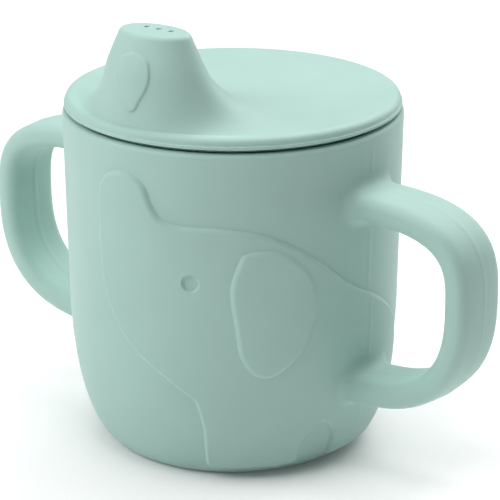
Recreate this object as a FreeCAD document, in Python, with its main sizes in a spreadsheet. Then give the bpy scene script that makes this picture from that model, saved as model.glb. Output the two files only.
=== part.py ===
import FreeCAD, Part

import math
import os

import Sketcher
from BOPTools import SplitAPI
from FreeCAD import Vector

# Two-handled toddler's sippy cup in soft silicone, millimetres, +Z up.
# Origin: centre of the base, on the surface that the cup stands on.
# The handles lie along X and the spout points towards -Y.

# ---------------------------------------------------------------- driving dimensions

SIZES = [
    ("rim_radius", 40.0, "outer radius of the cup at its rim"),
    ("rim_height", 81.2, "height of the rim"),
    ("rim_rounding", 0.6, "rounding of both rim edges"),
    ("shoulder_radius", 39.25, "outer radius where the wall starts to curve under"),
    ("shoulder_height", 38.0, "height where the wall starts to curve under"),
    ("base_radius", 28.3, "radius of the flat ring that the cup stands on"),
    ("recess_radius", 24.0, "radius of the shallow recess under the base"),
    ("recess_depth", 0.8, "depth of the recess under the base"),
    ("wall_thickness", 2.6, "cup wall"),
    ("floor_thickness", 3.5, "cup floor"),
    ("inner_base_radius", 26.5, "radius of the flat part of the floor inside"),
    ("handle_reach", 67.5, "distance from the cup's axis to the grip's centreline"),
    ("handle_top", 65.7, "height of the upper arm's centreline"),
    ("handle_bottom", 21.0, "height of the lower arm's centreline"),
    ("handle_upper_bend", 15.2, "centreline radius of the upper bend"),
    ("handle_lower_bend", 22.0, "centreline radius of the lower bend"),
    ("handle_thickness", 6.8, "thickness of the handle's band"),
    ("handle_width", 16.2, "width of the handle's band along Y"),
    ("handle_rounding", 3.0, "rounding of the band's long edges"),
    ("upper_root", 38.0, "distance from the axis to the upper arm's end, inside the wall"),
    ("lower_root", 35.9, "distance from the axis to the lower arm's end, inside the wall"),
    ("root_blend", 2.5, "fillet between a handle and the wall"),
    ("root_sink", 0.3, "depth below the wall's surface at which that fillet is tangent"),
    ("lid_radius", 39.6, "radius of the lid's edge band"),
    ("lid_top", 84.7, "height of the lid's flat top"),
    ("lid_edge_rounding", 1.7, "rounding of the lid's upper edge"),
    ("lip_radius", 40.0, "radius of the thin lip at the foot of the lid's edge"),
    ("lip_height", 0.8, "height of the thin lip"),
    ("seam_gap", 0.9, "height of the shadow gap between the lip and the rim"),
    ("seam_radius", 38.6, "radius at the bottom of the shadow gap"),
    ("plug_clearance", 0.4, "radial clearance between the plug ring and the rim's inside"),
    ("plug_thickness", 1.8, "thickness of the plug ring"),
    ("plug_depth", 7.2, "how far the plug ring goes down into the mouth"),
    ("plug_rounding", 0.8, "rounding of the plug ring's lower edges"),
    ("lid_thickness", 2.5, "thickness of the lid's disc"),
    ("spout_centre", 28.0, "distance from the cup's axis to the spout's tip"),
    ("spout_top", 104.85, "height of the spout's end face"),
    ("spout_wall", 2.2, "wall of the spout"),
    ("spout_rounding", 1.2, "rounding of the spout's end"),
    ("spout_hole_radius", 0.75, "radius of each drinking hole"),
    ("spout_hole_pitch", 3.5, "distance between the drinking holes"),
    ("relief_height", 0.6, "how far the elephant stands out of the wall"),
    ("ear_height", 0.35, "how far the ear stands out of the elephant"),
]

# Outer sections of the spout from its end down to its foot, where it flares into the lid:
# (depth below the end, half width along X, half depth along Y, shift towards the lid's centre).
SPOUT_SECTIONS = [
    (0.0, 9.0, 5.6, 0.0),
    (2.4, 10.0, 6.5, 0.0),
    (4.8, 11.2, 7.4, 0.0),
    (8.0, 12.6, 8.6, 0.1),
    (12.0, 14.6, 10.7, 1.4),
    (16.0, 17.6, 14.2, 4.2),
    (18.8, 21.0, 18.6, 8.3),
    (20.6, 23.6, 21.6, 11.0),
]
# The drinking passage follows the outer sections down to this one, and then goes straight down.
LAST_PASSAGE_SECTION = 4

# The elephant's outline on the unrolled wall: (distance round the wall from the spout's side
# towards +X, height). Each list is one smooth stretch and the next one starts where it ends.
ELEPHANT = [
    [(19.5, 3.4), (19.6, 14.0), (18.0, 22.0)],
    [(18.0, 22.0), (10.0, 27.5), (1.5, 33.5), (-4.5, 42.0), (-7.0, 52.0), (-7.2, 64.0), (-6.4, 71.0),
     (-1.0, 74.6), (5.0, 72.6), (6.8, 68.6)],
    [(6.8, 68.6), (9.6, 64.8), (15.0, 63.6), (24.0, 63.4), (35.0, 61.2), (46.0, 54.5), (56.0, 46.5),
     (67.0, 40.5), (75.5, 33.5), (79.5, 22.0), (80.0, 12.0), (80.0, 3.4)],
    [(80.0, 3.4), (55.0, 3.4)],
    [(55.0, 3.4), (54.4, 10.0), (49.5, 14.6), (44.6, 10.0), (44.0, 3.4)],
    [(44.0, 3.4), (19.5, 3.4)],
]
EAR = [
    [(29.0, 58.0), (36.5, 58.0), (43.5, 52.0), (45.5, 43.0), (41.5, 33.5), (34.0, 28.5), (29.0, 33.0),
     (27.6, 41.0), (26.6, 50.0), (29.0, 58.0)],
]

ORIGIN_POINT = (-1, 1)
START, END, CENTRE = 1, 2, 3

doc = FreeCAD.newDocument("SippyCup")


# ---------------------------------------------------------------- spreadsheet


def section_aliases(number):
    """Sheet aliases of one spout section's depth, half width, half depth and shift."""
    return [f"section{number}_{word}" for word in ("depth", "half_width", "half_depth", "shift")]


def make_sheet():
    """The spreadsheet of driving dimensions, one aliased cell each."""
    rows = list(SIZES)
    for number, section in enumerate(SPOUT_SECTIONS):
        for alias, value in zip(section_aliases(number), section):
            rows.append((alias, value, "outer section of the spout"))
    sheet = doc.addObject("Spreadsheet::Sheet", "sizes")
    for row, (alias, value, note) in enumerate(rows, start=1):
        sheet.set(f"A{row}", alias)
        sheet.set(f"B{row}", str(value))
        sheet.set(f"C{row}", note)
        sheet.setAlias(f"B{row}", alias)
    doc.recompute()
    return sheet, {alias for alias, _, _ in rows}


sizes, ALIASES = make_sheet()


def size(expression):
    """Value of an expression in the sheet's aliases, in millimetres."""
    return float(sizes.evalExpression(expression))


def bind(target, path, expression):
    """Drive a property of an object by an expression in the sheet's aliases."""
    words = [f"sizes.{word}" if word in ALIASES else word for word in expression.split()]
    target.setExpression(path, " ".join(words))


# ---------------------------------------------------------------- sketch and body helpers


def new_sketch(body, name, role):
    """Sketch on the body's own origin plane that has this role."""
    plane = [feature for feature in body.Origin.OriginFeatures if feature.Role == role][0]
    sketch = body.newObject("Sketcher::SketchObject", name)
    sketch.AttachmentSupport = (plane, [""])
    sketch.MapMode = "FlatFace"
    sketch.Visibility = False
    return sketch


def constrain(sketch, expression, kind, *where):
    """Add a dimension whose value is an expression in the sheet's aliases."""
    index = sketch.addConstraint(Sketcher.Constraint(kind, *where, size(expression)))
    bind(sketch, f"Constraints[{index}]", expression)


def pin(sketch, geometry, point, place):
    """Hold a sketch point at a pair of expressions measured from the sketch's origin."""
    constrain(sketch, place[0], "DistanceX", *ORIGIN_POINT, geometry, point)
    constrain(sketch, place[1], "DistanceY", *ORIGIN_POINT, geometry, point)


def vector(place):
    return Vector(size(place[0]), size(place[1]), 0)


def add_line(sketch, start, end):
    """Line whose start is pinned. The edge that follows it holds its end."""
    index = sketch.addGeometry(Part.LineSegment(vector(start), vector(end)), False)
    pin(sketch, index, START, start)
    return index


def add_ellipse_quarter(sketch, centre, low, side):
    """Quarter of an upright ellipse, from its lowest point round to its outermost one."""
    ellipse = Part.Ellipse(vector(low), vector(side), vector(centre))
    index = sketch.addGeometry(Part.ArcOfEllipse(ellipse, 0, math.pi / 2), False)
    sketch.exposeInternalGeometry(index)
    sketch.addConstraint(Sketcher.Constraint("Vertical", index + 1))
    pin(sketch, index, CENTRE, centre)
    pin(sketch, index, START, low)
    pin(sketch, index, END, side)
    return index


def add_bend(sketch, centre, start, end):
    """Circular arc, counter-clockwise between two pinned ends, about a centre of known x."""
    middle = vector(centre)
    spokes = [vector(place) - middle for place in (start, end)]
    angles = [math.atan2(spoke.y, spoke.x) for spoke in spokes]
    if angles[1] < angles[0]:
        angles[1] += 2 * math.pi
    circle = Part.Circle(middle, Vector(0, 0, 1), spokes[0].Length)
    index = sketch.addGeometry(Part.ArcOfCircle(circle, *angles), False)
    pin(sketch, index, START, start)
    pin(sketch, index, END, end)
    constrain(sketch, centre[0], "DistanceX", *ORIGIN_POINT, index, CENTRE)
    return index


def draw_outline(sketch, path, curves):
    """Closed outline through the path's points, counter-clockwise or clockwise.

    curves names the stretches that are not straight: the number of their first point, and then
    the function that draws them, their centre, and whether the path runs along them in reverse.
    """
    count = len(path)
    edges = []
    for number, start in enumerate(path):
        end = path[(number + 1) % count]
        if number in curves:
            draw, centre, reverse = curves[number]
            first, last = (end, start) if reverse else (start, end)
            edges.append((draw(sketch, centre, first, last), END if reverse else START))
        else:
            edges.append((add_line(sketch, start, end), START))
    for number, (edge, _) in enumerate(edges):
        if number not in curves:
            following, arrival = edges[(number + 1) % count]
            sketch.addConstraint(Sketcher.Constraint("Coincident", edge, END, following, arrival))


def revolve(body, sketch, name):
    feature = body.newObject("PartDesign::Revolution", name)
    feature.Profile = sketch
    feature.ReferenceAxis = (sketch, ["V_Axis"])
    feature.Angle = 360
    doc.recompute()
    return feature


def fillet(body, base, name, radius, wanted):
    """Round every edge of the base feature that passes the test wanted(edge, middle)."""
    names = []
    for number, edge in enumerate(base.Shape.Edges, start=1):
        middle = edge.valueAt((edge.FirstParameter + edge.LastParameter) / 2)
        if wanted(edge, middle):
            names.append(f"Edge{number}")
    feature = body.newObject("PartDesign::Fillet", name)
    feature.Base = (base, names)
    bind(feature, "Radius", radius)
    doc.recompute()
    return feature


def on_rings(*rings):
    """Test for circles about the cup's axis, each given as (radius, height)."""
    known = [(size(radius), size(height)) for radius, height in rings]

    def wanted(edge, middle):
        place = math.hypot(middle.x, middle.y), middle.z
        return any(math.dist(place, ring) < 0.05 for ring in known)

    return wanted


def boolean(kind, name, base, tool):
    feature = doc.addObject(f"Part::{kind}", name)
    feature.Base = base
    feature.Tool = tool
    doc.recompute()
    return feature


# ---------------------------------------------------------------- cup


def make_cup_shell():
    """Wall and floor: one closed half profile, turned about the cup's axis."""
    body = doc.addObject("PartDesign::Body", "CupBody")
    sketch = new_sketch(body, "CupProfile", "XZ_Plane")
    path = [
        ("0", "recess_depth"),
        ("recess_radius", "recess_depth"),
        ("recess_radius + recess_depth", "0"),
        ("base_radius", "0"),
        ("shoulder_radius", "shoulder_height"),
        ("rim_radius", "rim_height"),
        ("rim_radius - wall_thickness", "rim_height"),
        ("shoulder_radius - wall_thickness", "shoulder_height"),
        ("inner_base_radius", "floor_thickness"),
        ("0", "floor_thickness"),
    ]
    curves = {
        3: (add_ellipse_quarter, ("base_radius", "shoulder_height"), False),
        7: (add_ellipse_quarter, ("inner_base_radius", "shoulder_height"), True),
    }
    draw_outline(sketch, path, curves)
    turned = revolve(body, sketch, "CupTurned")
    fillet(body, turned, "RimRounding", "rim_rounding",
           on_rings(("rim_radius", "rim_height"), ("rim_radius - wall_thickness", "rim_height")))
    body.Label = "cup_shell"
    return body


def wall_layer(inside, outside):
    """Solid of revolution between two offsets of the cup's outer wall."""
    def profile(offset):
        centre = Vector(size("base_radius"), 0, size("shoulder_height"))
        low = centre + Vector(0, 0, -size("shoulder_height") - offset)
        side = Vector(size("shoulder_radius") + offset, 0, size("shoulder_height"))
        curve = Part.ArcOfEllipse(Part.Ellipse(low, side, centre), 0, math.pi / 2)
        top = Vector(size("rim_radius") + offset, 0, size("rim_height"))
        return low, [curve.toShape(), Part.LineSegment(side, top).toShape()], top

    low_in, inner, top_in = profile(inside)
    low_out, outer, top_out = profile(outside)
    closing = [Part.LineSegment(low_in, low_out).toShape(), Part.LineSegment(top_in, top_out).toShape()]
    face = Part.Face(Part.Wire(Part.__sortEdges__(inner + outer + closing)))
    return face.revolve(Vector(0, 0, 0), Vector(0, 0, 1), 360)


def wrapped_curve(points, radius):
    """Smooth curve through outline points wrapped round the cup's axis at a radius."""
    places = []
    for along, height in points:
        angle = along / size("rim_radius")
        places.append(Vector(radius * math.sin(angle), -radius * math.cos(angle), height))
    curve = Part.BSplineCurve()
    curve.interpolate(places)
    return curve.toShape()


def raised_patch(outline, height):
    """The part of a layer on the wall, of one height, that lies behind a wrapped outline."""
    near, far = size("base_radius") - 2, size("rim_radius") + 2
    fence = [Part.makeRuledSurface(wrapped_curve(stretch, near), wrapped_curve(stretch, far))
             for stretch in outline]
    pieces = SplitAPI.slice(wall_layer(0, height), fence, "Split").Solids
    return min(pieces, key=lambda piece: piece.Volume)


def make_relief(right_handle):
    """The low raised elephant, with its ear raised a little more, cut clear of the handle's root."""
    height = size("relief_height")
    layers = []
    for name, outline, layer in (("Elephant", ELEPHANT, height), ("Ear", EAR, height + size("ear_height"))):
        feature = doc.addObject("Part::Feature", name)
        feature.Shape = raised_patch(outline, layer)
        layers.append(feature)
    whole = boolean("Fuse", "ElephantWithEar", *layers)
    relief = boolean("Cut", "Relief", whole, right_handle)
    relief.Label = "elephant_relief"
    return relief


# ---------------------------------------------------------------- handles


def make_handle_band():
    """Right-hand loop: a band of one thickness round two bends, with rounded long edges."""
    body = doc.addObject("PartDesign::Body", "HandleBody")
    sketch = new_sketch(body, "HandleOutline", "XZ_Plane")
    half = "handle_thickness / 2"
    upper_x = "handle_reach - handle_upper_bend"
    upper_z = "handle_top - handle_upper_bend"
    lower_x = "handle_reach - handle_lower_bend"
    lower_z = "handle_bottom + handle_lower_bend"
    path = [
        ("lower_root", f"handle_bottom - {half}"),
        (lower_x, f"handle_bottom - {half}"),
        (f"handle_reach + {half}", lower_z),
        (f"handle_reach + {half}", upper_z),
        (upper_x, f"handle_top + {half}"),
        ("upper_root", f"handle_top + {half}"),
        ("upper_root", f"handle_top - {half}"),
        (upper_x, f"handle_top - {half}"),
        (f"handle_reach - {half}", upper_z),
        (f"handle_reach - {half}", lower_z),
        (lower_x, f"handle_bottom + {half}"),
        ("lower_root", f"handle_bottom + {half}"),
    ]
    curves = {
        1: (add_bend, (lower_x, lower_z), False),
        3: (add_bend, (upper_x, upper_z), False),
        7: (add_bend, (upper_x, upper_z), True),
        9: (add_bend, (lower_x, lower_z), True),
    }
    draw_outline(sketch, path, curves)
    pad = body.newObject("PartDesign::Pad", "HandlePad")
    pad.Profile = sketch
    pad.SideType = "Symmetric"
    bind(pad, "Length", "handle_width")
    doc.recompute()
    side = size("handle_width") / 2
    fillet(body, pad, "HandleRounding", "handle_rounding",
           lambda edge, middle: abs(abs(middle.y) - side) < 0.01 and middle.x > size("upper_root") + 1)
    return body


def wall_radius(height):
    """Outer radius of the cup's wall at a height."""
    shoulder, base = size("shoulder_radius"), size("base_radius")
    bend = size("shoulder_height")
    if height < bend:
        return base + (shoulder - base) * math.sqrt(1 - ((bend - height) / bend) ** 2)
    return shoulder + (size("rim_radius") - shoulder) * (height - bend) / (size("rim_height") - bend)


def root_edges(joined, band):
    """Numbers of the edges along which the band meets the sunk wall."""
    span = band.Shape.BoundBox
    found = []
    for number, edge in enumerate(joined.Shape.Edges, start=1):
        middle = edge.valueAt((edge.FirstParameter + edge.LastParameter) / 2)
        beside = middle.x > 0 and 0.5 < abs(middle.y) < span.YMax + 0.1
        within = span.ZMin - 0.1 < middle.z < span.ZMax + 0.1
        if beside and within:
            gap = math.hypot(middle.x, middle.y) - wall_radius(middle.z) + size("root_sink")
            if abs(gap) < 0.05:
                found.append(number)
    return found


def outside_wall(name, blended, cup_shell):
    """The one solid of a blended loop that stands outside the cup's wall."""
    trimmed = boolean("Cut", f"{name}Trim", blended, cup_shell)
    feature = doc.addObject("Part::Feature", name)
    feature.Shape = max(trimmed.Shape.Solids, key=lambda solid: solid.Volume)
    return feature


def make_handles(cup_shell):
    """Both loops. Each is blended into a wall sunk a little below the real one, and then cut back
    to the real wall, so that the blend meets it at a small angle and not along a knife edge."""
    band = make_handle_band()
    sunk = doc.addObject("Part::Feature", "SunkWall")
    sunk.Shape = wall_layer(-size("wall_thickness - root_sink - root_sink"), -size("root_sink"))
    joined = boolean("Fuse", "HandleOnWall", sunk, band)
    blend = doc.addObject("Part::Fillet", "RootBlend")
    blend.Base = joined
    radius = size("root_blend")
    blend.Edges = [(number, radius, radius) for number in root_edges(joined, band)]
    mirrored = doc.addObject("Part::Mirroring", "RootBlendMirrored")
    mirrored.Source = blend
    mirrored.Normal = Vector(1, 0, 0)
    doc.recompute()
    right = outside_wall("RightHandle", blend, cup_shell)
    left = outside_wall("LeftHandle", mirrored, cup_shell)
    right.Label = "right_handle"
    left.Label = "left_handle"
    return right, left


# ---------------------------------------------------------------- lid and spout


def make_lid_body():
    """Disc, edge band with its thin lip, shadow gap and plug ring: one half profile, turned."""
    body = doc.addObject("PartDesign::Body", "LidBody")
    sketch = new_sketch(body, "LidProfile", "XZ_Plane")
    under = "lid_top - lid_thickness"
    plug_outside = "rim_radius - wall_thickness - plug_clearance"
    plug_inside = f"{plug_outside} - plug_thickness"
    plug_foot = "rim_height - plug_depth"
    lip_foot = "rim_height + seam_gap"
    lip_head = f"{lip_foot} + lip_height"
    edge_x = "lid_radius - lid_edge_rounding"
    edge_z = "lid_top - lid_edge_rounding"
    path = [
        ("0", under),
        (plug_inside, under),
        (plug_inside, plug_foot),
        (plug_outside, plug_foot),
        (plug_outside, "rim_height"),
        ("seam_radius", "rim_height"),
        ("seam_radius", lip_foot),
        ("lip_radius", lip_foot),
        ("lip_radius", lip_head),
        ("lid_radius", lip_head),
        ("lid_radius", edge_z),
        (edge_x, "lid_top"),
        ("0", "lid_top"),
    ]
    draw_outline(sketch, path, {10: (add_bend, (edge_x, edge_z), False)})
    turned = revolve(body, sketch, "LidTurned")
    fillet(body, turned, "PlugRounding", "plug_rounding",
           on_rings((plug_inside, plug_foot), (plug_outside, plug_foot)))
    return body


def ellipse_sketch(body, name, height, half_width, half_depth, centre_y):
    """Level sketch of one ellipse with its long axis along X; all four sizes are expressions."""
    sketch = new_sketch(body, name, "XY_Plane")
    bind(sketch, "AttachmentOffset.Base.z", height)
    centre = vector(("0", centre_y))
    long_end = centre + Vector(size(half_width), 0, 0)
    short_end = centre + Vector(0, size(half_depth), 0)
    index = sketch.addGeometry(Part.Ellipse(long_end, short_end, centre), False)
    sketch.exposeInternalGeometry(index)
    sketch.addConstraint(Sketcher.Constraint("Horizontal", index + 1))
    pin(sketch, index, CENTRE, ("0", centre_y))
    constrain(sketch, f"2 * ( {half_width} )", "Distance", index + 1)
    constrain(sketch, f"2 * ( {half_depth} )", "Distance", index + 2)
    return sketch


def loft(body, name, sections):
    feature = body.newObject("PartDesign::AdditiveLoft", name)
    feature.Profile = sections[0]
    feature.Sections = sections[1:]
    doc.recompute()
    return feature


def make_spout_body():
    """Outer form of the spout, with its rounded end and the row of drinking holes."""
    body = doc.addObject("PartDesign::Body", "SpoutBody")
    sections = []
    for number in range(len(SPOUT_SECTIONS)):
        depth, half_width, half_depth, shift = section_aliases(number)
        sections.append(ellipse_sketch(body, f"SpoutSection{number}", f"spout_top - {depth}",
                                       half_width, half_depth, f"{shift} - spout_centre"))
    form = loft(body, "SpoutForm", sections)
    top = size("spout_top")
    fillet(body, form, "SpoutRounding", "spout_rounding", lambda edge, middle: abs(middle.z - top) < 0.01)
    holes = new_sketch(body, "DrinkingHoles", "XY_Plane")
    bind(holes, "AttachmentOffset.Base.z", "spout_top")
    for place in (-1, 0, 1):
        centre = (f"{place} * spout_hole_pitch", "0 - spout_centre")
        index = holes.addGeometry(Part.Circle(vector(centre), Vector(0, 0, 1), size("spout_hole_radius")))
        pin(holes, index, CENTRE, centre)
        constrain(holes, "spout_hole_radius", "Radius", index)
    pocket = body.newObject("PartDesign::Pocket", "HolePocket")
    pocket.Profile = holes
    bind(pocket, "Length", "2 * spout_wall")
    doc.recompute()
    return body


def make_passage_body():
    """The drink's way: down inside the spout and straight through the lid's disc."""
    body = doc.addObject("PartDesign::Body", "PassageBody")
    sections = []
    for number in range(LAST_PASSAGE_SECTION + 1):
        depth, half_width, half_depth, shift = section_aliases(number)
        height = f"spout_top - {depth}" if number else "spout_top - spout_wall"
        sections.append(ellipse_sketch(body, f"PassageSection{number}", height,
                                       f"{half_width} - spout_wall", f"{half_depth} - spout_wall",
                                       f"{shift} - spout_centre"))
    loft(body, "PassageForm", sections)
    pad = body.newObject("PartDesign::Pad", "PassageFoot")
    pad.Profile = sections[-1]
    pad.Reversed = True
    depth = section_aliases(LAST_PASSAGE_SECTION)[0]
    bind(pad, "Length", f"spout_top - {depth} - rim_height")
    doc.recompute()
    return body


def make_lid_and_spout():
    lid_body = make_lid_body()
    spout_body = make_spout_body()
    passage = make_passage_body()
    lid = boolean("Cut", "Lid", lid_body, passage)
    hollow = boolean("Cut", "SpoutHollow", spout_body, passage)
    spout = boolean("Cut", "Spout", hollow, lid_body)
    lid.Label = "lid"
    spout.Label = "spout"
    return lid, spout


# ---------------------------------------------------------------- build, check and write


def check_document():
    """Stop if any object of the document failed to compute."""
    for item in doc.Objects:
        if "Invalid" in item.State or "Error" in item.State:
            raise RuntimeError(f"{item.Name} failed: {item.State}")


def write_parts(parts):
    os.makedirs("parts", exist_ok=True)
    for part in parts:
        shape = part.Shape
        if shape.isNull() or not shape.isValid() or len(shape.Solids) != 1:
            raise RuntimeError(f"{part.Label} is not one valid solid")
    for part in parts:
        part.Shape.exportStep(f"parts/{part.Label}.step")
        box = part.Shape.optimalBoundingBox(False)
        print(f"{part.Label}: {part.Shape.Volume:.0f} mm3, x {box.XMin:.2f} to {box.XMax:.2f}, "
              f"y {box.YMin:.2f} to {box.YMax:.2f}, z {box.ZMin:.2f} to {box.ZMax:.2f}")


cup_shell = make_cup_shell()
right_handle, left_handle = make_handles(cup_shell)
relief = make_relief(right_handle)
lid, spout = make_lid_and_spout()
doc.recompute()
check_document()
write_parts([cup_shell, left_handle, right_handle, relief, lid, spout])
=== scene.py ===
import math

import bmesh
import bpy
import numpy as np
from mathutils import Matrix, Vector
from mathutils.geometry import delaunay_2d_cdt


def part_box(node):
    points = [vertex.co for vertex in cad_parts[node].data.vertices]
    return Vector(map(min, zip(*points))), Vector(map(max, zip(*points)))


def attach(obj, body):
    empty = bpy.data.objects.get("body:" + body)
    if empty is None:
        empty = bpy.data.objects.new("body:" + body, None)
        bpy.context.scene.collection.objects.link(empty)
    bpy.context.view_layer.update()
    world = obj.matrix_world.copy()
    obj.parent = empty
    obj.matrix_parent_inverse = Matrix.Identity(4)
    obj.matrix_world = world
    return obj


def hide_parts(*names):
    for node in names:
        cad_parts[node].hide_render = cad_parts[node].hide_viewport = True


# Two-handled silicone sippy cup. Lengths in the code are millimetres; the scene is in metres.
# +Z is up, the handles lie along X and the spout points towards -Y.

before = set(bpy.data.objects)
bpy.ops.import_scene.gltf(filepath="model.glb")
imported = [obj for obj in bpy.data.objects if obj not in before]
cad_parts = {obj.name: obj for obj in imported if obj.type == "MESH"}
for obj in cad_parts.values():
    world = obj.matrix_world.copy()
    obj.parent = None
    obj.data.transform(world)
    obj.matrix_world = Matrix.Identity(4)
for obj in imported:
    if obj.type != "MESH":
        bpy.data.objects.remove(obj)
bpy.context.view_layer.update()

MM = 0.001


def cad_corners(node):
    """Lowest and highest corner of a CAD node, in millimetres."""
    low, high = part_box(node)
    return np.array(low) / MM, np.array(high) / MM


# ---------------------------------------------------------------- sizes

_, CUP_HIGH = cad_corners("cup_shell")
LID_LOW, LID_HIGH = cad_corners("lid")
_, SPOUT_HIGH = cad_corners("spout")
_, HANDLE_HIGH = cad_corners("right_handle")

RIM_RADIUS = LID_HIGH[0]
RIM_HEIGHT = CUP_HIGH[2]
RIM_ROUNDING = 1.2
WALL = 2.6
CUP_FLOOR = 3.5
SHOULDER_RADIUS = RIM_RADIUS - 0.75     # where the wall starts to curve under
SHOULDER_HEIGHT = 38.0
BASE_RADIUS = RIM_RADIUS - 11.7
INNER_BASE_RADIUS = 26.5
RECESS_RADIUS = 24.0
RECESS_DEPTH = 0.8

BAND_HALF = 3.4                         # half thickness of a handle's band
BAND_HALF_WIDTH = 8.1
BAND_CORNER = 3.0
BAND_CROWN = 0.3                        # how much the band's faces fall away towards their edges
GRIP_REACH = HANDLE_HIGH[0] - BAND_HALF     # centreline of the grip
ARM_TOP = 65.7                          # heights of the two arms' centrelines at the wall
ARM_BOTTOM = 21.0
GRIP_MIDDLE = 47.1                      # height where the upper and lower bends meet
UPPER_SQUARENESS = 3.2
LOWER_SQUARENESS = 2.6
BEND_X = 38.0                           # middle of both bends, as if they ran on into the wall
UPPER_ARM_START = 44.6                  # where each arm leaves its fillet
LOWER_ARM_END = 43.8
BAND_STEP = 1.5
ROOT_BLEND = 3.0                        # fillet between a handle and the wall

RELIEF_HEIGHT = 0.95
EAR_RISE = 0.75                         # above the rest of the elephant
RELIEF_RAMP = 0.65                      # half width of the sloped edge of the relief
PARTING_RIDGE = 0.07                    # height and half width of the mould's parting line
PARTING_HALF = 0.3

LID_TOP = LID_HIGH[2]
LID_FLAT_RADIUS = 37.1                  # the top's edge rounds over from here
LID_SIDE_RADIUS = 39.3
LIP_RADIUS = 39.6
LID_EDGE_DROP = 1.7
# Shares of the way out and down along the edge's soft slope.
LID_EDGE = [(0.20, 0.01), (0.38, 0.04), (0.54, 0.10), (0.67, 0.18), (0.78, 0.29), (0.87, 0.42),
            (0.93, 0.57), (0.97, 0.74), (1.0, 1.0)]
LIP_HEIGHT = 0.8
LID_UNDER = LID_TOP - 2.5
SEAM_GAP = 0.9                          # dark line between the lid's lip and the rim
SEAM_RADIUS = 37.9
PLUG_RADIUS = 37.0
PLUG_THICKNESS = 1.8
PLUG_LOW = LID_LOW[2]
PLUG_ROUNDING = 0.8

SPOUT_TOP = SPOUT_HIGH[2]
SPOUT_Y = -28.0                         # the spout's upright axis
SPOUT_HALF_X = 9.0
SPOUT_HALF_Y = 5.6
SPOUT_ROUNDING = 1.5
THROAT_WIDENING = (0.453, 0.377)        # along X and Y, for each millimetre down the throat
THROAT_LENGTH = 8.1                     # straight part of the spout, above the flare
FLARE_REACH = 26.8                      # how far the flare spreads where the lid leaves room for it
LEDGE = 0.12                            # flat left between the flare and the lid's edge in front
INSIDE_TOP = SPOUT_TOP - 2.2
# Drinking passage from the lid's underside up: (height, half size X, half size Y, centre Y).
PASSAGE = [(LID_UNDER, 12.4, 8.5, -26.6), (92.8, 12.4, 8.5, -26.6), (96.9, 10.4, 6.4, SPOUT_Y),
           (100.1, 9.0, 5.2, SPOUT_Y), (INSIDE_TOP, 7.8, 4.3, SPOUT_Y)]
HOLE_RADIUS = 0.65
HOLE_PITCH = 3.5
HOLE_Y = -26.6
HOLE_SIDES = 20
# Wall of a hole from its softened mouth down: (how much wider than the hole, depth).
HOLE_WALL = [(0.06, 0.04), (0, 0.16), (0, 0.9), (0, 1.6)]
MOUTH_WIDENING = 0.2

GIRTH = 2 * math.pi * RIM_RADIUS
COLUMNS = 168                           # vertices round the cup
GRID_STEP = GIRTH / COLUMNS
RELIEF_STEP = 0.8
RAYS = 216                              # vertices round the spout and the lid
SPREAD = 10.0                           # width of the spout's unrolled sheet for each radian round it
LID_ROW_STEP = 1.2
CAP_STEP = 0.9
BISECTIONS = 40                         # halvings when a place is found by search

# Outline points on the unrolled wall: distance round from the spout's side towards +X, height.
ELEPHANT = [
    [(19.5, 3.4), (19.6, 14.0), (18.0, 22.0)],
    [(18.0, 22.0), (10.0, 27.5), (1.5, 33.5), (-4.5, 42.0), (-7.0, 52.0), (-7.2, 64.0), (-6.4, 71.0),
     (-1.0, 74.6), (5.0, 72.6), (6.8, 68.6)],
    [(6.8, 68.6), (9.6, 64.8), (15.0, 63.6), (24.0, 63.4), (35.0, 61.2), (46.0, 54.5), (56.0, 46.5),
     (67.0, 40.5), (75.5, 33.5), (79.5, 22.0), (80.0, 12.0), (80.0, 3.4)],
    [(80.0, 3.4), (55.0, 3.4)],
    [(55.0, 3.4), (54.4, 10.0), (49.5, 14.6), (44.6, 10.0), (44.0, 3.4)],
    [(44.0, 3.4), (19.5, 3.4)],
]
EAR = [
    [(29.0, 58.0), (36.5, 58.0), (43.5, 52.0), (45.5, 43.0), (41.5, 33.5), (34.0, 28.5), (29.0, 33.0),
     (27.6, 41.0), (26.6, 50.0), (29.0, 58.0)],
]
# Outline of the plain drop-shaped panel on the spout's front: (x, height).
DROP = [(0, 88.2), (1.5, 88.9), (2.4, 90.9), (3.9, 93.5), (4.5, 96.4), (3.4, 99.6), (0, 100.9),
        (-3.4, 99.6), (-4.5, 96.4), (-3.9, 93.5), (-2.4, 90.9), (-1.5, 88.9), (0, 88.2)]
PANEL_RISE = 0.5
PANEL_RAMP = 0.4
EYE_PLACE = (17.0, 51.0)
EYE_RADIUS = 1.8
EYE_DEPTH = 0.6
EYE_RAMP = 0.4

# ---------------------------------------------------------------- colours, light and view (metres)

MINT = (163, 195, 187)                  # sRGB out of 255
FLOOR_RADIUS = 0.75
FLOOR_GLOW_START = 0.3                  # the floor's painted glow rises from faint to full white from here outwards
MIDDLE = (0, 0, 0.045)                  # where the lights and the camera look
# Softboxes: name, place, side, power in watts.
LIGHTS = [
    ("overhead", (0, 0, 1.1), 1.0, 10.3),
    ("back_top", (0, 0.8, 0.8), 0.8, 6.8),
    ("left_front", (-0.75, -0.65, 0.5), 0.7, 4.5),
    ("front_top", (-0.2, -0.8, 0.85), 0.5, 3.5),
    ("rear", (0.2, 1.0, 0.4), 0.5, 1.6),
]
WORLD_STRENGTH = 0.01
CAMERA_AZIMUTH = 38.24                  # degrees round from the front towards the right handle
CAMERA_ELEVATION = 19.81
CAMERA_DISTANCE = 0.57766
CAMERA_LENS = 173.84                    # millimetres of lens on a 36 mm sensor
AIM_SIDEWAYS = 0.00393                  # how far beside and above MIDDLE the camera looks
AIM_UPWARDS = -0.00015


# ---------------------------------------------------------------- curves and shells


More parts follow.
